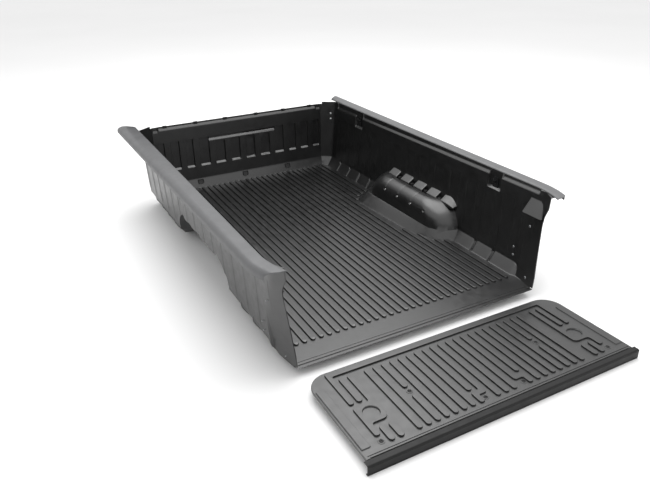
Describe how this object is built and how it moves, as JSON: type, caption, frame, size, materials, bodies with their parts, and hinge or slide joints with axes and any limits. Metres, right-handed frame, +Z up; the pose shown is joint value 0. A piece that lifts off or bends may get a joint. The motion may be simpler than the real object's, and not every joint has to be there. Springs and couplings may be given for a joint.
{
  "type": "truck bed liner",
  "caption": "Ribbed plastic liner for an open pickup bed, with moulded wheel arches, rail caps and a hinged tailgate liner.",
  "frame": {"origin": "middle of the tub's underside, half-way along the load floor, where it rests on the truck's bed floor", "axes": "+X to the truck's right, +Y towards the cab, +Z up"},
  "size_m": [1.7298, 2.9983, 0.557],
  "materials": {
    "liner": "fine grained black polyethylene",
    "gate": "fine grained black polyethylene",
    "rail": "satin grained dark grey plastic",
    "tape": "closed cell foam tape",
    "steel": "zinc plated screw",
    "black_steel": "black coated steel"
  },
  "bodies": {
    "root": {"bed_liner_tub": "liner", "rail_cap_left": "rail", "rail_tape_left": "tape", "tie_down_hook_left_rear": "black_steel", "tie_down_hook_left_front": "black_steel", "rail_cap_right": "rail", "rail_tape_right": "tape", "tie_down_hook_right_rear": "black_steel", "tie_down_hook_right_front": "black_steel", "front_anchor_clip_left": "black_steel", "front_anchor_clip_centre": "black_steel", "front_anchor_clip_right": "black_steel", "front_rim_clip_1": "black_steel", "front_rim_clip_2": "black_steel", "front_rim_clip_3": "black_steel", "front_rim_clip_4": "black_steel", "front_rim_clip_5": "black_steel", "front_rim_clip_6": "black_steel", "left_rear_upper_screw": "steel", "left_rear_lower_screw": "steel", "left_side_upper_screw": "steel", "left_side_lower_screw": "steel", "left_front_corner_upper_screw": "steel", "left_front_corner_lower_screw": "steel", "right_rear_upper_screw": "steel", "right_rear_lower_screw": "steel", "right_side_upper_screw": "steel", "right_side_lower_screw": "steel", "right_front_corner_upper_screw": "steel", "right_front_corner_lower_screw": "steel"},
    "tailgate": {"tailgate_liner": "gate", "tailgate_edge_cap": "liner", "tailgate_screw_1": "black_steel", "tailgate_screw_2": "black_steel", "tailgate_screw_3": "black_steel", "tailgate_screw_4": "black_steel", "tailgate_screw_5": "black_steel", "tailgate_screw_6": "black_steel"}
  },
  "joints": [
    {"name": "tailgate_swing", "type": "hinge", "parent": "root", "child": "tailgate", "pos_m": [0, -1.205, -0.04], "axis": [-1, 0, 0], "range_deg": [0, 90]}
  ]
}
